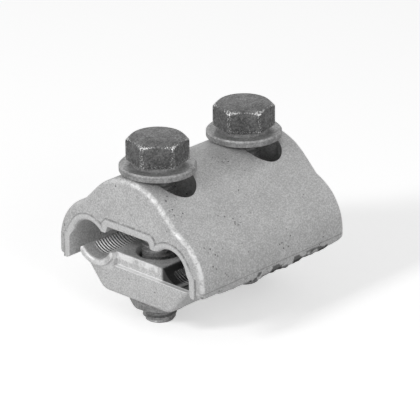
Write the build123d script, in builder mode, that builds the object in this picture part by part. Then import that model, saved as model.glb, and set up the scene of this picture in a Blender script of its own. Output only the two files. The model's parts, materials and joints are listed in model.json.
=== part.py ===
"""Two-bolt parallel groove clamp for overhead-line conductors, millimetres.

X runs along the conductors, Y across the two grooves, +Z up the bolts.
The origin lies midway between the bolts, level with their tips.
"""
from build123d import *
import os
from math import asin, cos, degrees, radians, sin, sqrt

os.makedirs("parts", exist_ok=True)

# Fasteners, M10
bolt_spacing = 36.5
bolt_length = 48.5
shank_radius = 5.0
tip_radius = 4.2
tip_height = 1.2
hex_across_flats = 16.0
head_turn = 13.2
hex_bevel_radius = 7.7
bevel_angle = 30.0
bearing_radius = 7.6
bearing_height = 1.1
head_height = 7.0
nut_height = 8.4
nut_bottom = 4.8
washer_radius = 11.2
washer_bore_radius = 5.5
washer_thickness = 2.0
washer_bevel = 0.45
washer_round = 0.25

# Clearances
thread_clearance = 0.05
crown_clearance = 0.1
pocket_clearance = 0.15
jaw_hole_radius = 5.75

# Conductor grooves, shared by both keepers
groove_offset = 16.0
groove_radius = 6.2
groove_height = 23.5
mouth_flare = 1.2

# Upper keeper
keeper_length = 62.0
keeper_half_width = 28.8
crown_radius = 19.0
flank_angle = 45.0
lobe_radius = 16.3
lobe_height = 20.6
crease_round = 3.0
left_foot_bottom = 15.9
right_foot_bottom = 17.6
foot_inner = 24.1
wall_inner = 23.9
wall_top = 22.9
foot_outer_round = 1.5
foot_inner_round = 1.2
arch_outer_angle = 30.0
cusp_rise = 4.6
cusp_inner = 9.0
cusp_round = 0.6
recess_half_width = 8.2
recess_depth = 2.2
recess_round = 0.8
slot_width = 13.2
slot_length = 25.4
end_round = 1.6
bead_width = 2.2
bead_height = 0.4
trim_height = 1.9
trim_step = 0.3

# Lower keeper
jaw_length = 57.5
land_drop = 2.4
land_round = 0.9
lip_inner = 21.0
lip_outer = 21.8
lip_drop = 0.5
jaw_side_height = 18.1
jaw_side_round = 2.0
jaw_bottom = 8.2
jaw_bottom_edge = 13.4
jaw_bottom_round = 4.5
jaw_end_round = 1.2
jaw_bead_width = 1.9
jaw_bead_height = 0.6
ledge_height = 17.2
ledge_depth = 1.3
ledge_edge = 8.6
countersink_radius = 6.8

# Derived heights and points
washer_top = bolt_length
washer_bottom = washer_top - washer_thickness
crown_top = washer_bottom - crown_clearance
crown_center = crown_top - crown_radius
nut_top = nut_bottom + nut_height
foot_bottoms = {1: left_foot_bottom, -1: right_foot_bottom}
cusp_height = groove_height + cusp_rise
recess_height = cusp_height + recess_depth
land_height = groove_height - land_drop
keeper_end = keeper_length / 2 - bead_height
jaw_end = jaw_length / 2 - jaw_bead_height


def on_circle(center, radius, angle):
    """Point on a circle, the angle measured from +Y towards +Z."""
    return (center[0] + radius * cos(radians(angle)), center[1] + radius * sin(radians(angle)))


groove = (groove_offset, groove_height)
lobe = (keeper_half_width - lobe_radius, lobe_height)
crown = (0, crown_center)
flank_start = on_circle(crown, crown_radius, 90 - flank_angle)
# The flank falls at 45 degrees, so y + z is the same all along it
flank_level = (sum(flank_start) - sum(lobe)) / lobe_radius
crease_angle = 135 - degrees(asin(flank_level / sqrt(2)))
crease = on_circle(lobe, lobe_radius, crease_angle)
cusp_outer = groove_offset - sqrt(groove_radius**2 - cusp_rise**2)
land_edge = groove_offset - sqrt(groove_radius**2 - land_drop**2)
lip_height = groove_height - sqrt(groove_radius**2 - (lip_inner - groove_offset) ** 2)
jaw_side = (lip_outer, jaw_side_height)


def corners(sketch, *points):
    """Vertices of a sketch at the given points and at their mirror images."""
    wanted = [(sign * y, z) for y, z in points for sign in (-1, 1)]
    return [
        vertex
        for vertex in sketch.vertices()
        if any(abs(vertex.X - y) + abs(vertex.Y - z) < 0.01 for y, z in wanted)
    ]


def half_opening(side):
    """Inner outline of the upper keeper from the foot on one side up to the centre."""
    arch_start = on_circle(groove, groove_radius, arch_outer_angle)
    arch_top = on_circle(groove, groove_radius, 90)
    return [
        [(foot_inner, foot_bottoms[side]), (wall_inner, wall_top)],
        [(wall_inner, wall_top), arch_start],
        [arch_start, arch_top, (cusp_outer, cusp_height)],
        [(cusp_outer, cusp_height), (cusp_inner, cusp_height)],
        [(cusp_inner, cusp_height), (recess_half_width, recess_height)],
        [(recess_half_width, recess_height), (0, recess_height)],
    ]


def half_outside(side):
    """Outer outline of the upper keeper from the crown down round the foot on one side."""
    lobe_end = (keeper_half_width, lobe_height)
    return [
        [(0, crown_top), on_circle(crown, crown_radius, 90 - flank_angle / 2), flank_start],
        [flank_start, crease],
        [crease, on_circle(lobe, lobe_radius, crease_angle / 2), lobe_end],
        [lobe_end, (keeper_half_width, foot_bottoms[side])],
        [(keeper_half_width, foot_bottoms[side]), (foot_inner, foot_bottoms[side])],
    ]


def draw(runs, side):
    """Draw runs of two points as lines and runs of three as arcs, on the given side."""
    for run in runs:
        points = [(side * y, z) for y, z in run]
        if len(points) == 2:
            Line(*points)
        else:
            ThreePointArc(*points)


def cut_mouths(half_length, sides):
    """Flare both ends of the groove on each of the given sides."""
    for side in sides:
        axis_y = side * groove_offset
        for end in (-1, 1):
            throat = end * (half_length - mouth_flare)
            mouth = (end * half_length, groove_radius + mouth_flare)
            turn = on_circle((throat, groove_radius + mouth_flare), mouth_flare, -90 + end * 45)
            plane = Plane(origin=(0, axis_y, groove_height), x_dir=(1, 0, 0), z_dir=(0, -1, 0))
            with BuildSketch(plane) as flare:
                with BuildLine():
                    ThreePointArc((throat, groove_radius), turn, mouth)
                    Polyline(mouth, (end * half_length, 0), (throat, 0), (throat, groove_radius))
                make_face()
            groove_axis = Axis((0, axis_y, groove_height), (1, 0, 0))
            revolve(flare.sketch, axis=groove_axis, mode=Mode.SUBTRACT)


def end_edges(part, x):
    """Edges lying in the planes at -x and +x."""
    return [
        edge
        for edge in part.edges()
        if abs(abs(edge.center().X) - x) < 0.001 and edge.bounding_box().size.X < 0.001
    ]


# Upper keeper: crown, flank, lobe and foot outside; grooves, cusps and recess inside
with BuildSketch(Plane.YZ) as keeper_section:
    with BuildLine():
        for side in (-1, 1):
            draw(half_outside(side) + half_opening(side), side)
    make_face()
    fillet(corners(keeper_section, crease), crease_round)
    for bottom in foot_bottoms.values():
        fillet(corners(keeper_section, (keeper_half_width, bottom)), foot_outer_round)
        fillet(corners(keeper_section, (foot_inner, bottom)), foot_inner_round)
    fillet(
        corners(keeper_section, (cusp_outer, cusp_height), (cusp_inner, cusp_height)),
        cusp_round,
    )
    fillet(corners(keeper_section, (recess_half_width, recess_height)), recess_round)

with BuildSketch(Plane.YZ) as keeper_bead:
    with BuildLine():
        for side in (-1, 1):
            draw(half_opening(side), side)
        Line((-foot_inner, foot_bottoms[-1]), (foot_inner, foot_bottoms[1]))
    make_face()
    offset(amount=bead_width)
    add(keeper_section.sketch_local, mode=Mode.INTERSECT)

with BuildPart() as upper_keeper:
    extrude(keeper_section.sketch, amount=keeper_end, both=True)
    crown_edges = [edge for edge in end_edges(upper_keeper, keeper_end) if edge.center().Z > flank_start[1]]
    fillet(crown_edges, end_round)
    extrude(keeper_bead.sketch, amount=keeper_length / 2, both=True)
    cut_mouths(keeper_length / 2, (-1, 1))
    with BuildSketch(Plane.XY.offset(crown_center)) as slots:
        with GridLocations(bolt_spacing, 0, 2, 1):
            SlotOverall(slot_length, slot_width, rotation=90)
    extrude(amount=crown_radius + 1, mode=Mode.SUBTRACT)
    for side, bottom in foot_bottoms.items():
        with Locations((0, side * keeper_half_width, bottom)):
            Box(keeper_length, 2 * trim_step, 2 * trim_height, mode=Mode.SUBTRACT)

# Lower keeper: land between two cradles, boat-shaped underside, pockets for the nuts
with BuildSketch(Plane.YZ) as jaw_section:
    with BuildLine():
        Line((0, land_height), (land_edge, land_height))
        ThreePointArc(
            (land_edge, land_height),
            on_circle(groove, groove_radius, 270),
            (lip_inner, lip_height),
        )
        Polyline(
            (lip_inner, lip_height),
            (lip_outer, lip_height - lip_drop),
            jaw_side,
            (jaw_bottom_edge, jaw_bottom),
            (0, jaw_bottom),
        )
        mirror(about=Plane.YZ)
    make_face()
    fillet(corners(jaw_section, (land_edge, land_height)), land_round)
    fillet(corners(jaw_section, jaw_side), jaw_side_round)
    fillet(corners(jaw_section, (jaw_bottom_edge, jaw_bottom)), jaw_bottom_round)

with BuildSketch(Plane.YZ) as jaw_bead:
    with Locations(groove):
        Circle(groove_radius + jaw_bead_width)
    add(jaw_section.sketch_local, mode=Mode.INTERSECT)

with BuildPart() as lower_keeper:
    extrude(jaw_section.sketch, amount=jaw_end, both=True)
    bottom_edges = [edge for edge in end_edges(lower_keeper, jaw_end) if edge.center().Z < jaw_bottom + 0.01]
    fillet(bottom_edges, jaw_end_round)
    extrude(jaw_bead.sketch, amount=jaw_length / 2, both=True)
    cut_mouths(jaw_length / 2, (1,))
    for end in (-1, 1):
        with Locations((end * jaw_end, ledge_edge, ledge_height)):
            Box(
                2 * ledge_depth,
                ledge_edge + lip_outer,
                lip_outer,
                align=(Align.CENTER, Align.MAX, Align.MIN),
                mode=Mode.SUBTRACT,
            )
    with Locations(Plane.XY.offset(land_height)):
        with GridLocations(bolt_spacing, 0, 2, 1):
            CounterSinkHole(jaw_hole_radius, countersink_radius)
    with BuildSketch(Plane.XY.offset(jaw_bottom)):
        with GridLocations(bolt_spacing, 0, 2, 1):
            RegularPolygon(hex_across_flats / 2 + pocket_clearance, 6, major_radius=False)
    extrude(amount=nut_top + pocket_clearance - jaw_bottom, mode=Mode.SUBTRACT)


def bevelled_hexagon(bottom, height, turn):
    """Hexagonal prism turned down to a bevel at both ends, rotated by turn degrees."""
    beyond = hex_across_flats / sqrt(3) + 0.5
    drop = (beyond - hex_bevel_radius) * sin(radians(bevel_angle)) / cos(radians(bevel_angle))
    with BuildSketch(Plane.XY.offset(bottom)) as hexagon:
        RegularPolygon(hex_across_flats / 2, 6, major_radius=False, rotation=turn)
    extrude(hexagon.sketch, amount=height)
    with BuildSketch(Plane.XZ) as turned:
        with BuildLine():
            Polyline(
                (0, bottom),
                (hex_bevel_radius, bottom),
                (beyond, bottom + drop),
                (beyond, bottom + height - drop),
                (hex_bevel_radius, bottom + height),
                (0, bottom + height),
                close=True,
            )
        make_face()
    revolve(turned.sketch, axis=Axis.Z, mode=Mode.INTERSECT)


def place_and_export(name, part, x):
    """Move a fastener built on the Z axis to its bolt and write it."""
    placed = Pos(x, 0, 0) * part
    placed.label = name
    export_step(placed, f"parts/{name}.step")


with BuildPart() as bolt:
    bevelled_hexagon(washer_top + bearing_height, head_height, head_turn)
    with BuildSketch(Plane.XY.offset(washer_top)):
        Circle(bearing_radius)
    extrude(amount=bearing_height)
    with BuildSketch(Plane.XZ) as shank:
        with BuildLine():
            Polyline(
                (0, 0),
                (tip_radius, 0),
                (shank_radius, tip_height),
                (shank_radius, washer_top),
                (0, washer_top),
                close=True,
            )
        make_face()
    revolve(shank.sketch, axis=Axis.Z)

with BuildPart() as washer:
    with BuildSketch(Plane.XY.offset(washer_bottom)):
        Circle(washer_radius)
        Circle(washer_bore_radius, mode=Mode.SUBTRACT)
    extrude(amount=washer_thickness)
    circles = washer.edges().filter_by(GeomType.CIRCLE)
    chamfer(circles.group_by(Axis.Z)[-1].sort_by(SortBy.RADIUS)[-1], washer_bevel)
    circles = washer.edges().filter_by(GeomType.CIRCLE)
    fillet(circles.group_by(Axis.Z)[0].sort_by(SortBy.RADIUS)[-1], washer_round)

with BuildPart() as nut:
    bevelled_hexagon(nut_bottom, nut_height, 0)
    with BuildSketch(Plane.XY.offset(nut_bottom)):
        Circle(shank_radius + thread_clearance)
    extrude(amount=nut_height, mode=Mode.SUBTRACT)

upper_keeper.part.label = "upper_keeper"
lower_keeper.part.label = "lower_keeper"
export_step(upper_keeper.part, "parts/upper_keeper.step")
export_step(lower_keeper.part, "parts/lower_keeper.step")
for end, x in {"front": -bolt_spacing / 2, "rear": bolt_spacing / 2}.items():
    place_and_export(f"bolt_{end}", bolt.part, x)
    place_and_export(f"washer_{end}", washer.part, x)
    place_and_export(f"nut_{end}", nut.part, x)
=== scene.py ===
import json
from math import cos, pi, radians, sin, tan

import bmesh
import bpy
from mathutils import Matrix, Vector


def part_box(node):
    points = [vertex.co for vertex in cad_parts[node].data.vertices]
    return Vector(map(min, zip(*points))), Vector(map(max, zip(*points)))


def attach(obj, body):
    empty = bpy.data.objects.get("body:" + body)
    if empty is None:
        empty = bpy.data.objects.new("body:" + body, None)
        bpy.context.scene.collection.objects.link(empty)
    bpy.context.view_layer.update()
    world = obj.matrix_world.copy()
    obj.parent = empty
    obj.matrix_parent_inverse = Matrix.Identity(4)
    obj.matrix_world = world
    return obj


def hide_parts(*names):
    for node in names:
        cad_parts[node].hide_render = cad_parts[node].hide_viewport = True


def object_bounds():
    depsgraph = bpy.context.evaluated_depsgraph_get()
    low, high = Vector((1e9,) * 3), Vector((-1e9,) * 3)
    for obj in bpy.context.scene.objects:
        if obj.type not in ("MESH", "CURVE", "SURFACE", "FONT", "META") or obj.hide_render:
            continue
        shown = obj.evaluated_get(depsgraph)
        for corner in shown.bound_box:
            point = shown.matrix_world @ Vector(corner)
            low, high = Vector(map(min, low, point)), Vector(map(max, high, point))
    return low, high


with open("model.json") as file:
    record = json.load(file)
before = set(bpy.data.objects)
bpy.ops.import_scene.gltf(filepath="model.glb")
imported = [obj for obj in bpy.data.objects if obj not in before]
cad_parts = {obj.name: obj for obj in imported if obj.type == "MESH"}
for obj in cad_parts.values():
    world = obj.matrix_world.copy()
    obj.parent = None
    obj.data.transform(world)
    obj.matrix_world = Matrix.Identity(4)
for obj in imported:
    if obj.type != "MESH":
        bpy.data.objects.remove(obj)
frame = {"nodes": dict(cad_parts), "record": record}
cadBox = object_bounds()
nodes = frame["nodes"]
scene = bpy.context.scene
print("frame loaded", sorted(nodes))


class Value:
    # one number socket that can be added, multiplied and compared
    def __init__(self, shader, socket):
        self.shader = shader
        self.socket = socket

    def math(self, operation, first, second):
        return self.shader.node("ShaderNodeMath", {"operation": operation}, {0: first, 1: second})

    def __add__(self, other):
        return self.math("ADD", self, other)

    def __radd__(self, other):
        return self.math("ADD", other, self)

    def __sub__(self, other):
        return self.math("SUBTRACT", self, other)

    def __rsub__(self, other):
        return self.math("SUBTRACT", other, self)

    def __mul__(self, other):
        return self.math("MULTIPLY", self, other)

    def __rmul__(self, other):
        return self.math("MULTIPLY", other, self)

    def __pow__(self, other):
        return self.math("POWER", self, other)

    def least(self, other):
        return self.math("MINIMUM", self, other)

    def most(self, other):
        return self.math("MAXIMUM", self, other)

    def absolute(self):
        return self.shader.node("ShaderNodeMath", {"operation": "ABSOLUTE"}, {0: self})

    def band(self, low, high, soft):
        # 1 between low and high, 0 outside
        return self.ramp(low, low + soft) * (1.0 - self.ramp(high - soft, high))

    def ramp(self, low, high):
        # 0 below low, 1 above high, smooth between
        return self.shader.node(
            "ShaderNodeMapRange",
            {"interpolation_type": "SMOOTHSTEP"},
            {"Value": self, "From Min": low, "From Max": high},
        )


class Shader:
    def __init__(self, name):
        self.material = bpy.data.materials.new(name)
        self.material.use_nodes = True
        self.tree = self.material.node_tree
        self.principled = self.tree.nodes["Principled BSDF"]

    def node(self, kind, settings, inputs, output=0):
        made = self.tree.nodes.new(kind)
        for key, setting in settings.items():
            setattr(made, key, setting)
        self.feed(made, inputs)
        return Value(self, made.outputs[output])

    def feed(self, made, inputs):
        for key, value in inputs.items():
            if isinstance(value, Value):
                self.tree.links.new(value.socket, made.inputs[key])
            else:
                made.inputs[key].default_value = value

    def surface(self, inputs):
        self.feed(self.principled, inputs)

    def mix(self, factor, first, second):
        return self.node(
            "ShaderNodeMix",
            {"data_type": "RGBA"},
            {0: factor, 6: first, 7: second},
            output=2,
        )

    def noise(self, place, scale, detail=2.0, roughness=0.5):
        return self.node(
            "ShaderNodeTexNoise",
            {},
            {"Vector": place, "Scale": scale, "Detail": detail, "Roughness": roughness},
        )

    def cells(self, place, scale):
        return self.node("ShaderNodeTexVoronoi", {}, {"Vector": place, "Scale": scale})

    def bump(self, height):
        return self.node("ShaderNodeBump", {}, {"Strength": 1.0, "Distance": 0.001, "Height": height})


def grey(level):
    return (level, level, level, 1.0)


def placed(shader):
    # object coordinates and their three numbers, all in metres
    place = shader.node("ShaderNodeTexCoord", {}, {}, output=3)
    parts = [
        shader.node("ShaderNodeSeparateXYZ", {}, {"Vector": place}, output=axis) for axis in range(3)
    ]
    return place, parts


groove = {
    "offset": 0.016,  # from the middle to a groove's axis
    "height": 0.0235,
    "radius": 0.0062,
    "pitch": 0.00105,  # from tooth to tooth
    "reach": 0.0245,  # half the length that has teeth
}


def teeth(parts, look):
    # ridges across both grooves, on the groove walls only
    x, y, z = parts
    across = y.absolute() - groove["offset"]
    rise = z - groove["height"]
    distance = (across * across + rise * rise) ** 0.5
    onWall = 1.0 - (distance - groove["radius"]).absolute().ramp(0.00035, 0.0007)
    within = 1.0 - x.absolute().ramp(groove["reach"] - 0.0012, groove["reach"])
    side = 1.0 - across.absolute().ramp(look["teethHalfWidth"] - 0.0006, look["teethHalfWidth"])
    wave = y.shader.node("ShaderNodeMath", {"operation": "SINE"}, {0: x * (2 * pi / groove["pitch"])})
    return wave * onWall * within * side


lip = {
    "width": 0.0022,  # round each arch
    "recessHalfWidth": 0.0106,
    "recessTop": 0.0325,
    "chamferSlope": (0.7071, 0.7071),  # of the recess's upper corners, sideways and upwards
    "chamferOut": 0.02942,
    "wallHalfWidth": 0.0261,
    "wallRise": 0.0042,  # above the grooves' axes
    "shoulderSlope": (0.826, 0.565),
    "shoulderOut": 0.03488,
}


def beyond(across, z, slope, out):
    # metres past a slanted plane that stands so far from the origin
    return across * slope[0] + z * slope[1] - out


def lipDistance(parts):
    # metres from the outer edge of the raised lip round the opening, less than 0 on the lip
    y, z = parts[1:]
    across = y.absolute()
    aside = across - groove["offset"]
    rise = z - groove["height"]
    arch = (aside * aside + rise * rise) ** 0.5 - (groove["radius"] + lip["width"])
    chamfer = beyond(across, z, lip["chamferSlope"], lip["chamferOut"])
    recess = (across - lip["recessHalfWidth"]).most(z - lip["recessTop"]).most(chamfer)
    shoulder = beyond(across, z, lip["shoulderSlope"], lip["shoulderOut"])
    wall = (across - lip["wallHalfWidth"]).most(shoulder).most(rise - lip["wallRise"])
    return arch.least(recess).least(wall)


# where the wear, painted highlights, painted shade and dark patches start and end, in metres, as pairs
# for a ramp or a band
coverWearAndPaintedLight = {
    "lineHalfWidth": (0.00008, 0.00028),
    "lineEnd": (0.0303, 0.0305),
    "lipEdge": (-0.0006, -0.0002),
    "lipEnd": (0.0306, 0.0308),
    "rimEnd": (0.0292, 0.0307),
    "rimFade": (-0.004, 0.012),
    "footSide": (-0.0270, -0.0255),
    "footTop": (0.0184, 0.0193),
    "trimSide": (-0.0280, -0.0275),
    "trimHeight": (0.01935, 0.01985),
    "finTop": (0.0167, 0.0176),
    "finSide": (-0.0262, -0.0255),
}


def coverMarks(shader, place, parts):
    # painted highlight with edge wear on the end rims, painted highlight on the lip face, painted shade
    # along the lip's edge and a trim step, darker noisy patches on the -Y foot and its fin
    x, y, z = parts
    wearAndPaintedLight = coverWearAndPaintedLight
    end = x.absolute()
    edge = lipDistance(parts)
    # painted shade: a thin dark line along the outer edge of the raised lip at the ends, broken by
    # noise
    lipCreaseShade = (1.0 - edge.absolute().ramp(*wearAndPaintedLight["lineHalfWidth"])) * end.ramp(*wearAndPaintedLight["lineEnd"])
    lipCreaseShade = lipCreaseShade * shader.noise(place, 420.0, 3.0, 0.7).ramp(0.34, 0.60)
    # painted highlight on the front face of the raised lip
    lipHighlight = (1.0 - edge.ramp(*wearAndPaintedLight["lipEdge"])) * end.ramp(*wearAndPaintedLight["lipEnd"])
    # painted highlight with edge wear along the end fillets, strongest on the -Y side where the light
    # falls
    rim = end.band(*wearAndPaintedLight["rimEnd"], 0.0005) * (1.0 - 0.7 * y.ramp(*wearAndPaintedLight["rimFade"]))
    bright = rim * shader.noise(place, 480.0, 3.0, 0.7).ramp(0.40, 0.60)
    # darker noisy patches along the lower edge of the -Y foot
    foot = (1.0 - y.ramp(*wearAndPaintedLight["footSide"])) * (1.0 - z.ramp(*wearAndPaintedLight["footTop"]))
    footDark = foot * shader.noise(place, 190.0, 3.0).ramp(0.50, 0.57)
    # painted shade: a thin dark line along a trim step on the outer face of the -Y foot
    skin = 1.0 - y.ramp(*wearAndPaintedLight["trimSide"])
    trimStepShade = skin * z.band(*wearAndPaintedLight["trimHeight"], 0.00015) * 0.35
    fin = (1.0 - z.ramp(*wearAndPaintedLight["finTop"])) * (1.0 - y.ramp(*wearAndPaintedLight["finSide"]))
    fin = fin * shader.noise(place, 260.0, 3.0, 0.7).ramp(0.42, 0.50)
    return {
        "bright": bright * 0.6 + lipHighlight * 0.3,
        "dark": (footDark + fin) * 0.8 + lipCreaseShade * 0.45 + trimStepShade,
        "shadeFilm": 0.0 * y,  # no painted shade film on the cover
    }


# where the painted highlights and painted shade on the jaw start and end, in metres
jawPaintedLight = {
    "frontEnd": (0.0260, 0.0268),
    "frontHeight": (0.0188, 0.0194),
    "frontSide": (-0.0080, 0.0098),
    "cornerEnd": (0.0280, 0.0283),
    "cornerSide": (0.0090, 0.0100),
    "cornerHeight": (0.0150, 0.0160),
    "shadeFilmSide": (-0.0102, -0.0088),
    "shadeFilmHeight": (0.0171, 0.0175),
    "ledgeEnd": (0.0262, 0.0266),
    "ledgeHeight": (0.0169, 0.0174),
    "ledgeSide": (0.0078, 0.0086),
}


def jawMarks(shader, place, parts):
    # painted highlights on the land's front, the near corner and the ledge edge; painted shade as a
    # dark glossy film in the far cradle
    x, y, z = parts
    wearAndPaintedLight = jawPaintedLight
    end = x.absolute()
    # painted highlight on the land's lit front face
    front = end.ramp(*wearAndPaintedLight["frontEnd"]) * z.ramp(*wearAndPaintedLight["frontHeight"])
    front = front * y.band(*wearAndPaintedLight["frontSide"], 0.0006)
    # painted highlight on the near corner at the ends
    corner = end.ramp(*wearAndPaintedLight["cornerEnd"]) * y.ramp(*wearAndPaintedLight["cornerSide"]) * z.ramp(*wearAndPaintedLight["cornerHeight"])
    bright = (front + corner) * shader.noise(place, 420.0, 2.0).ramp(0.30, 0.60)
    # painted shade: a dark glossy film over the far cradle, which lies in shade
    shadeFilm = (1.0 - y.ramp(*wearAndPaintedLight["shadeFilmSide"])) * z.ramp(*wearAndPaintedLight["shadeFilmHeight"])
    # painted highlight along the ledge's top edge
    ledge = end.ramp(*wearAndPaintedLight["ledgeEnd"]) * z.band(*wearAndPaintedLight["ledgeHeight"], 0.0001)
    ledge = ledge * (1.0 - y.ramp(*wearAndPaintedLight["ledgeSide"]))
    return {
        "bright": bright * 0.7 + ledge * 0.8,
        "dark": 0.0 * y,  # no dark patches on the jaw
        "shadeFilm": shadeFilm,
    }


castBody = {
    "name": "blastedCastingCover",
    "light": grey(0.66),
    "dark": grey(0.44),
    "pit": grey(0.07),
    "metallic": 0.3,
    "roughness": 0.42,
    "grain": 0.12,
    "teeth": 0.2,
    "teethHalfWidth": 0.0052,
    "pits": 0.9,
    "marks": coverMarks,
}
castJaw = {
    "name": "blastedCastingJaw",
    "light": grey(0.74),
    "dark": grey(0.50),
    "pit": grey(0.08),
    "metallic": 0.35,
    "roughness": 0.38,
    "grain": 0.10,
    "teeth": 0.3,
    "teethHalfWidth": 0.0050,
    "pits": 0.8,
    "marks": jawMarks,
}


def castMetal(look):
    shader = Shader(look["name"])
    place, parts = placed(shader)
    clouds = shader.noise(place, 90.0, 3.0)
    grain = shader.noise(place, 2100.0, 2.0, 0.7)
    lumps = shader.noise(place, 420.0, 2.0)
    pitSpread = shader.noise(place, 110.0, 1.0).ramp(0.54, 0.66)
    pits = (1.0 - shader.cells(place, 700.0).ramp(0.08, 0.24)) * pitSpread * look["pits"]
    specks = shader.noise(place, 1300.0, 1.0).ramp(0.66, 0.74) * 0.5
    tone = (clouds * 0.2 + lumps * 0.14 + grain * 0.86).ramp(0.48, 0.76)
    metal = shader.mix(tone, look["dark"], look["light"])
    ridges = teeth(parts, look)
    marks = look["marks"](shader, place, parts)
    worn = shader.mix(pits + specks * 0.5, metal, look["pit"])
    # painted highlights on the marked edges and painted glints on the teeth crests, with the cover's
    # rim wear
    highlightedAndWorn = shader.mix(marks["bright"] + ridges.ramp(0.2, 1.0) * 0.6, worn, grey(0.95))
    # painted shade in the lip crease and along the trim step, and the darker patches on the cover's
    # foot and fin
    shadedAndDarkened = shader.mix(marks["dark"], highlightedAndWorn, grey(0.03))
    # painted shade: the dark film in the far cradle
    cradleShaded = shader.mix(marks["shadeFilm"], shadedAndDarkened, grey(0.025))
    height = grain * look["grain"] + lumps * 0.06 - pits * 0.25 - specks * 0.05 + ridges * look["teeth"]
    shader.surface(
        {
            "Base Color": cradleShaded,
            "Metallic": look["metallic"] * (1.0 - marks["shadeFilm"]),
            "Roughness": (look["roughness"] + 0.16 * grain) * (1.0 - 0.6 * marks["shadeFilm"]),
            "Normal": shader.bump(height),
        }
    )
    return shader.material


boltLook = {
    "name": "dullGalvanisedBolt",
    "light": grey(0.24),
    "dark": grey(0.07),
    "bright": grey(0.85),
    "rough": 0.34,
    "scale": 1500.0,
    "dents": 0.07,
    "wearAndPaintedLight": 1.0,
}
washerLook = {
    "name": "dullGalvanisedWasher",
    "light": grey(0.45),
    "dark": grey(0.20),
    "bright": grey(0.8),
    "rough": 0.36,
    "scale": 1400.0,
    "dents": 0.05,
    "wearAndPaintedLight": 0.2,
}
nutLook = {
    "name": "dullGalvanisedNut",
    "light": grey(0.2),
    "dark": grey(0.07),
    "bright": grey(0.5),
    "rough": 0.42,
    "scale": 1500.0,
    "dents": 0.05,
    "wearAndPaintedLight": 0.1,
}
head = {
    "boltX": 0.01825,
    "corner": 0.0087,  # radius past which the corners are worn
    "bevel": 0.0076,  # radius where the bevel starts
    "bevelAngle": 30.0,
    "bottom": 0.0496,
    "top": cadBox[1][2],
}


def dullSteel(look):
    shader = Shader(look["name"])
    place, (x, y, z) = placed(shader)
    patches = shader.noise(place, look["scale"] * 0.2, 3.0, 0.6)
    mottle = shader.noise(place, look["scale"], 3.0, 0.7)
    flecks = shader.noise(place, look["scale"] * 1.6, 1.0)
    across = x.absolute() - head["boltX"]
    radius = (across * across + y * y) ** 0.5
    onHead = z.ramp(head["bottom"] - 0.0004, head["bottom"])
    corner = radius.ramp(head["corner"], head["corner"] + 0.0003) * 0.6
    # painted highlight on the head's bevel cone
    fall = (radius - head["bevel"]) * tan(radians(head["bevelAngle"]))
    cone = (z + fall).ramp(head["top"] - 0.0005, head["top"] - 0.0001)
    cone = cone * radius.ramp(head["bevel"], head["bevel"] + 0.0008)
    sole = (1.0 - z.ramp(head["bottom"] + 0.0004, head["bottom"] + 0.0016)) * 0.45
    # worn corners, the painted highlight on the bevel cone and the head's lower edge together
    wearAndPaintedLight = (corner + cone + sole) * onHead * look["wearAndPaintedLight"]
    # bright scuffs everywhere, more of them on the worn corners, on the cone's painted highlight and
    # near the lower edge
    scuffsAndSheen = (flecks + wearAndPaintedLight * 0.12).ramp(0.60, 0.71) * (0.12 + wearAndPaintedLight * 0.6)
    tone = (patches * 0.35 + mottle * 0.65).ramp(0.34, 0.72)
    metal = shader.mix(tone, look["dark"], look["light"])
    shank = shader.mix(tone, grey(0.2), grey(0.5))
    shiny = shader.mix(scuffsAndSheen, shader.mix(onHead, shank, metal), look["bright"])
    height = mottle * look["dents"] + flecks * 0.03
    shader.surface(
        {
            "Base Color": shiny,
            "Metallic": 0.7,
            "Roughness": look["rough"] + 0.2 * (1.0 - tone),
            "Normal": shader.bump(height),
        }
    )
    return shader.material


materials = {
    "cast_body": castMetal(castBody),
    "cast_jaw": castMetal(castJaw),
    "bolt_steel": dullSteel(boltLook),
    "washer_steel": dullSteel(washerLook),
    "nut_steel": dullSteel(nutLook),
}
print("materials made", sorted(materials))


slotOf = {part["node"]: part["material_slot"] for part in frame["record"]["subparts"]}


def dress(piece, slotName):
    piece.data.materials.clear()
    piece.data.materials.append(materials[slotName])


for name, slotName in slotOf.items():
    dress(nodes[name], slotName)


def added(name, bm, sharpAngle=None):
    # an object made of a bmesh, smooth up to the angle given
    mesh = bpy.data.meshes.new(name)
    bm.to_mesh(mesh)
    bm.free()
    piece = bpy.data.objects.new(name, mesh)
    scene.collection.objects.link(piece)
    if sharpAngle is not None:
        mesh.shade_smooth()
        mesh.set_sharp_from_angle(angle=radians(sharpAngle))
    return piece


def rounded(bm, sharpAngle, offset):
    # every edge sharper than the angle worn round, and large faces made triangles
    bmesh.ops.bevel(
        bm,
        geom=[edge for edge in bm.edges if edge.calc_face_angle(0.0) > radians(sharpAngle)],
        offset=offset,
        segments=2,
        affect="EDGES",
        profile=0.5,
        material=-1,
        clamp_overlap=True,
    )
    bmesh.ops.triangulate(bm, faces=[face for face in bm.faces if len(face.verts) > 4])


worn = {"tidyAngle": 0.4, "edgeAngle": 38.0, "edgeRound": 0.0002, "sharpAngle": 32.0}
mergeWithin = 2e-6  # vertices closer than this are one


def softened(node, bodyName):
    # the same casting with its sharp edges worn round
    bm = bmesh.new()
    bm.from_mesh(nodes[node].data)
    bmesh.ops.remove_doubles(bm, verts=bm.verts, dist=mergeWithin)
    bmesh.ops.dissolve_limit(
        bm, angle_limit=radians(worn["tidyAngle"]), verts=bm.verts, edges=bm.edges
    )
    rounded(bm, worn["edgeAngle"], worn["edgeRound"])
    piece = added(node + "Worn", bm, worn["sharpAngle"])
    dress(piece, slotOf[node])
    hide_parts(node)
    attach(piece, bodyName)
    print(node, "worn", len(piece.data.polygons), "faces")


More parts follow.
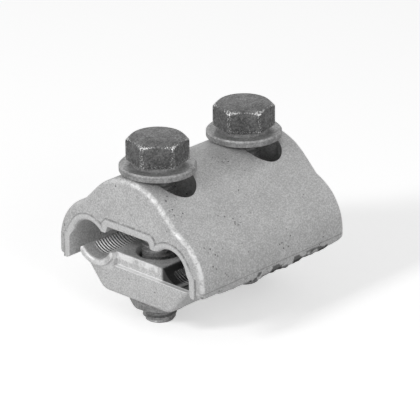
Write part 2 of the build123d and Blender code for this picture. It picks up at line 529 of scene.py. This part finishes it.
flash = {
    "start": -0.0235,
    "end": 0.0292,
    "depth": 0.0013,
    "inside": -0.0271,
    "outside": -0.0283,
    "bottom": 0.0176,  # of the foot it hangs from
    "root": 0.0006,  # how far it starts inside the foot
    "innerLean": 0.0004,
    "outerLean": 0.0003,
    "waves": ((23.0, 1.0, 0.16), (61.0, 0.0, 0.1), (117.0, 0.0, 0.07)),  # rate, start, share
    "steps": 110,
    "sharpAngle": 40.0,
}


def flashFin(bodyName):
    # thin uneven fin of metal left hanging under the long foot on the -Y side
    bm = bmesh.new()
    columns = []
    for step in range(flash["steps"] + 1):
        share = step / flash["steps"]
        x = flash["start"] + (flash["end"] - flash["start"]) * share
        uneven = 0.8 + sum(size * sin(rate * share + start) for rate, start, size in flash["waves"])
        hang = flash["depth"] * max(0.0, sin(pi * share)) ** 0.6 * uneven
        corners = (
            (flash["outside"], flash["bottom"] + flash["root"]),
            (flash["inside"], flash["bottom"] + flash["root"]),
            (flash["inside"] - flash["innerLean"], flash["bottom"] - hang),
            (flash["outside"] + flash["outerLean"], flash["bottom"] - hang),
        )
        columns.append([bm.verts.new((x, y, z)) for y, z in corners])
    for before, after in zip(columns, columns[1:]):
        for index in range(4):
            following = (index + 1) % 4
            bm.faces.new((before[index], before[following], after[following], after[index]))
    bm.faces.new(columns[0])
    bm.faces.new(columns[-1][::-1])
    bmesh.ops.recalc_face_normals(bm, faces=bm.faces)
    piece = added("flashFin", bm, flash["sharpAngle"])
    dress(piece, "cast_body")
    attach(piece, bodyName)
    print("flash fin made")


boltShape = {
    "pitch": 0.0015,
    "crest": 0.005,
    "root": 0.00416,
    "stepsPerTurn": 36,
    "intoHead": 0.0004,  # how far the thread runs up inside the collar
    # radius and share of the pitch, up one thread
    "profile": (
        ("root", 0.0),
        ("root", 0.18),
        ("crest", 0.46),
        ("crest", 0.62),
        ("root", 0.9),
        ("root", 1.0),
    ),
    "tipRadius": 0.0042,
    "tipHeight": 0.0012,
    "tipInset": 0.0002,  # the cut end is this much smaller
    "acrossFlats": 0.016,
    "headTurn": 13.2,
    "collarRadius": 0.0076,
    "collarHeight": 0.0011,
    "collarIntoHead": 0.0002,
    "collarSteps": 64,
    "bevelSteps": 60,
    "edgeAngle": 40.0,
    "edgeRound": 0.0003,
    "sharpAngle": 32.0,
}


def disc(bm, axis, radius, bottom, top, steps):
    # closed cylinder or prism on the bolt's axis, first corner at +X
    rings = []
    for height in (bottom, top):
        ring = []
        for step in range(steps):
            angle = 2 * pi * step / steps
            out = Vector((radius * cos(angle), radius * sin(angle), height))
            ring.append(bm.verts.new(axis + out))
        rings.append(ring)
    lower, upper = rings
    bm.faces.new(lower[::-1])
    bm.faces.new(upper)
    for step in range(steps):
        after = (step + 1) % steps
        bm.faces.new((lower[step], lower[after], upper[after], upper[step]))


def hexHead(axis, bottom, top):
    # hexagon with its upper corners turned off and its edges worn round
    shape = boltShape
    bm = bmesh.new()
    disc(bm, axis, shape["acrossFlats"] / 2 / cos(pi / 6), bottom, top, 6)
    turned = Matrix.Rotation(radians(shape["headTurn"]), 3, "Z")
    bmesh.ops.rotate(bm, verts=bm.verts, cent=axis, matrix=turned)
    slope = radians(head["bevelAngle"])
    for step in range(shape["bevelSteps"]):
        angle = 2 * pi * step / shape["bevelSteps"]
        out = Vector((cos(angle), sin(angle), 0.0))
        bmesh.ops.bisect_plane(
            bm,
            geom=bm.verts[:] + bm.edges[:] + bm.faces[:],
            dist=1e-7,
            plane_co=axis + out * head["bevel"] + Vector((0, 0, top)),
            plane_no=out * sin(slope) + Vector((0, 0, cos(slope))),
            clear_outer=True,
        )
        bmesh.ops.holes_fill(bm, edges=[edge for edge in bm.edges if edge.is_boundary], sides=0)
    bmesh.ops.remove_doubles(bm, verts=bm.verts, dist=mergeWithin)
    bmesh.ops.recalc_face_normals(bm, faces=bm.faces)
    rounded(bm, shape["edgeAngle"], shape["edgeRound"])
    return bm


def cutThread(axis, bottom, top):
    # one pitch of thread profile swept along the helix, cut at both ends
    shape = boltShape
    pitch = shape["pitch"]
    turns = int((top - bottom) / pitch) + 3
    thread = bmesh.new()
    row = [
        thread.verts.new((axis.x + shape[part], axis.y, bottom - 2 * pitch + step * pitch))
        for part, step in shape["profile"]
    ]
    edges = [thread.edges.new(pair) for pair in zip(row, row[1:])]
    bmesh.ops.spin(
        thread,
        geom=row + edges,
        cent=axis,
        axis=(0, 0, 1),
        dvec=(0, 0, pitch / shape["stepsPerTurn"]),
        angle=2 * pi * turns,
        steps=shape["stepsPerTurn"] * turns,
        use_merge=False,
    )
    bmesh.ops.remove_doubles(thread, verts=thread.verts, dist=mergeWithin)
    for height, normal in ((top, (0, 0, 1)), (bottom, (0, 0, -1))):
        bmesh.ops.bisect_plane(
            thread,
            geom=thread.verts[:] + thread.edges[:] + thread.faces[:],
            plane_co=(0, 0, height),
            plane_no=normal,
            clear_outer=True,
        )
    # the tip is turned to a cone, so the last threads fade into it
    for vertex in thread.verts:
        flat = Vector((vertex.co.x - axis.x, vertex.co.y - axis.y, 0.0))
        up = (vertex.co.z - bottom) / shape["tipHeight"]
        limit = shape["tipRadius"] + (shape["crest"] - shape["tipRadius"]) * max(0.0, up)
        limit -= shape["tipInset"] if up < 0 else 0.0
        if flat.length > limit:
            vertex.co = axis + flat.normalized() * limit + Vector((0, 0, vertex.co.z))
    ends = [edge for edge in thread.edges if edge.is_boundary]
    bmesh.ops.holes_fill(thread, edges=ends, sides=0)
    bmesh.ops.triangulate(thread, faces=[face for face in thread.faces if len(face.verts) > 4])
    bmesh.ops.recalc_face_normals(thread, faces=thread.faces)
    return thread


def threadedBolt(node, bodyName):
    shape = boltShape
    low, high = (Vector(corner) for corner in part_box(node))
    washerTop = max(corner[2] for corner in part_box(node.replace("bolt", "washer")))
    axis = Vector(((low.x + high.x) / 2, (low.y + high.y) / 2, 0.0))
    headBottom = washerTop + shape["collarHeight"]
    bm = hexHead(axis, headBottom, high.z)
    collarTop = headBottom + shape["collarIntoHead"]
    disc(bm, axis, shape["collarRadius"], washerTop, collarTop, shape["collarSteps"])
    thread = cutThread(axis, low.z, washerTop + shape["intoHead"])
    threadMesh = bpy.data.meshes.new("threadPart")
    thread.to_mesh(threadMesh)
    thread.free()
    bm.from_mesh(threadMesh)
    bpy.data.meshes.remove(threadMesh)
    piece = added(node + "Threaded", bm, shape["sharpAngle"])
    dress(piece, slotOf[node])
    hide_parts(node)
    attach(piece, bodyName)
    print(node, "threaded", len(piece.data.polygons), "faces")


for bodyName, members in frame["record"]["behaviour"]["bodies"].items():
    for member in members:
        if member.startswith("bolt_"):
            threadedBolt(member, bodyName)
        if member.endswith("_keeper"):
            softened(member, bodyName)
        if member == "upper_keeper":
            flashFin(bodyName)


studio = {
    "floorReach": 3.0,
    "floorTone": 0.92,
    "floorGlow": 0.46,  # only what the camera sees
    "worldOnObject": 0.36,
    "keyPower": 4.0,
    "keyFrom": (-0.85, 0.10, 0.60),
    "keySize": 0.22,
    "fillPower": 1.75,
    "fillFrom": (-0.25, -0.95, 0.45),
    "fillSize": 0.4,
}


def makeWorld():
    world = bpy.data.worlds.new("studioWorld")
    scene.world = world
    world.use_nodes = True
    tree = world.node_tree
    background = tree.nodes["Background"]
    rays = tree.nodes.new("ShaderNodeLightPath")
    seen = tree.nodes.new("ShaderNodeMath")
    seen.operation = "MAXIMUM"
    tree.links.new(rays.outputs["Is Camera Ray"], seen.inputs[0])
    tree.links.new(rays.outputs["Is Glossy Ray"], seen.inputs[1])
    through = tree.nodes.new("ShaderNodeMath")
    through.operation = "MAXIMUM"
    tree.links.new(seen.outputs[0], through.inputs[0])
    tree.links.new(rays.outputs["Is Transmission Ray"], through.inputs[1])
    strength = tree.nodes.new("ShaderNodeMapRange")
    strength.inputs["To Min"].default_value = studio["worldOnObject"]
    strength.inputs["To Max"].default_value = 1.0
    tree.links.new(through.outputs[0], strength.inputs["Value"])
    tree.links.new(strength.outputs[0], background.inputs["Strength"])
    background.inputs["Color"].default_value = (1, 1, 1, 1)


def makeFloor():
    bm = bmesh.new()
    bmesh.ops.create_circle(bm, cap_ends=True, segments=96, radius=studio["floorReach"])
    floor = added("floor", bm)
    shader = Shader("paleFloor")
    seen = shader.node("ShaderNodeLightPath", {}, {}, output=0)
    shader.surface(
        {
            "Base Color": grey(studio["floorTone"]),
            "Roughness": 0.9,
            "Specular IOR Level": 0.0,
            "Emission Color": shader.mix(seen, grey(0.0), grey(1.0)),
            "Emission Strength": studio["floorGlow"],
        }
    )
    floor.data.materials.append(shader.material)


def makeLamp(name, power, start, size, target):
    data = bpy.data.lights.new(name, "AREA")
    data.energy = power
    data.size = size
    lamp = bpy.data.objects.new(name, data)
    scene.collection.objects.link(lamp)
    lamp.location = start
    lamp.rotation_euler = (target - lamp.location).to_track_quat("-Z", "Y").to_euler()


middle = (Vector(cadBox[0]) + Vector(cadBox[1])) / 2
makeWorld()
makeFloor()
makeLamp("keyLamp", studio["keyPower"], Vector(studio["keyFrom"]), studio["keySize"], middle)
makeLamp("fillLamp", studio["fillPower"], Vector(studio["fillFrom"]), studio["fillSize"], middle)
print("world, floor and lamps set")


view = {
    "azimuth": -46.82,
    "elevation": 22.8,
    "roll": -0.45,
    "distance": 0.9004,
    "aim": (0.00344, 0.0, 0.02704),
    "lens": 263.38,
    "sensor": 36.0,
    "nearest": 0.01,
}
cameraData = bpy.data.cameras.new("viewCamera")
cameraData.lens = view["lens"]
cameraData.sensor_width = view["sensor"]
cameraData.clip_start = view["nearest"]
camera = bpy.data.objects.new("viewCamera", cameraData)
scene.collection.objects.link(camera)
turn, lift, roll = (radians(view[key]) for key in ("azimuth", "elevation", "roll"))
back = Vector((sin(turn) * cos(lift), -cos(turn) * cos(lift), sin(lift)))
camera.location = Vector(view["aim"]) + back * view["distance"]
facing = Matrix.Rotation(turn, 3, "Z") @ Matrix.Rotation(pi / 2 - lift, 3, "X")
camera.rotation_euler = (facing @ Matrix.Rotation(roll, 3, "Z")).to_euler()
scene.camera = camera
scene.view_settings.view_transform = "Standard"
print("camera set")
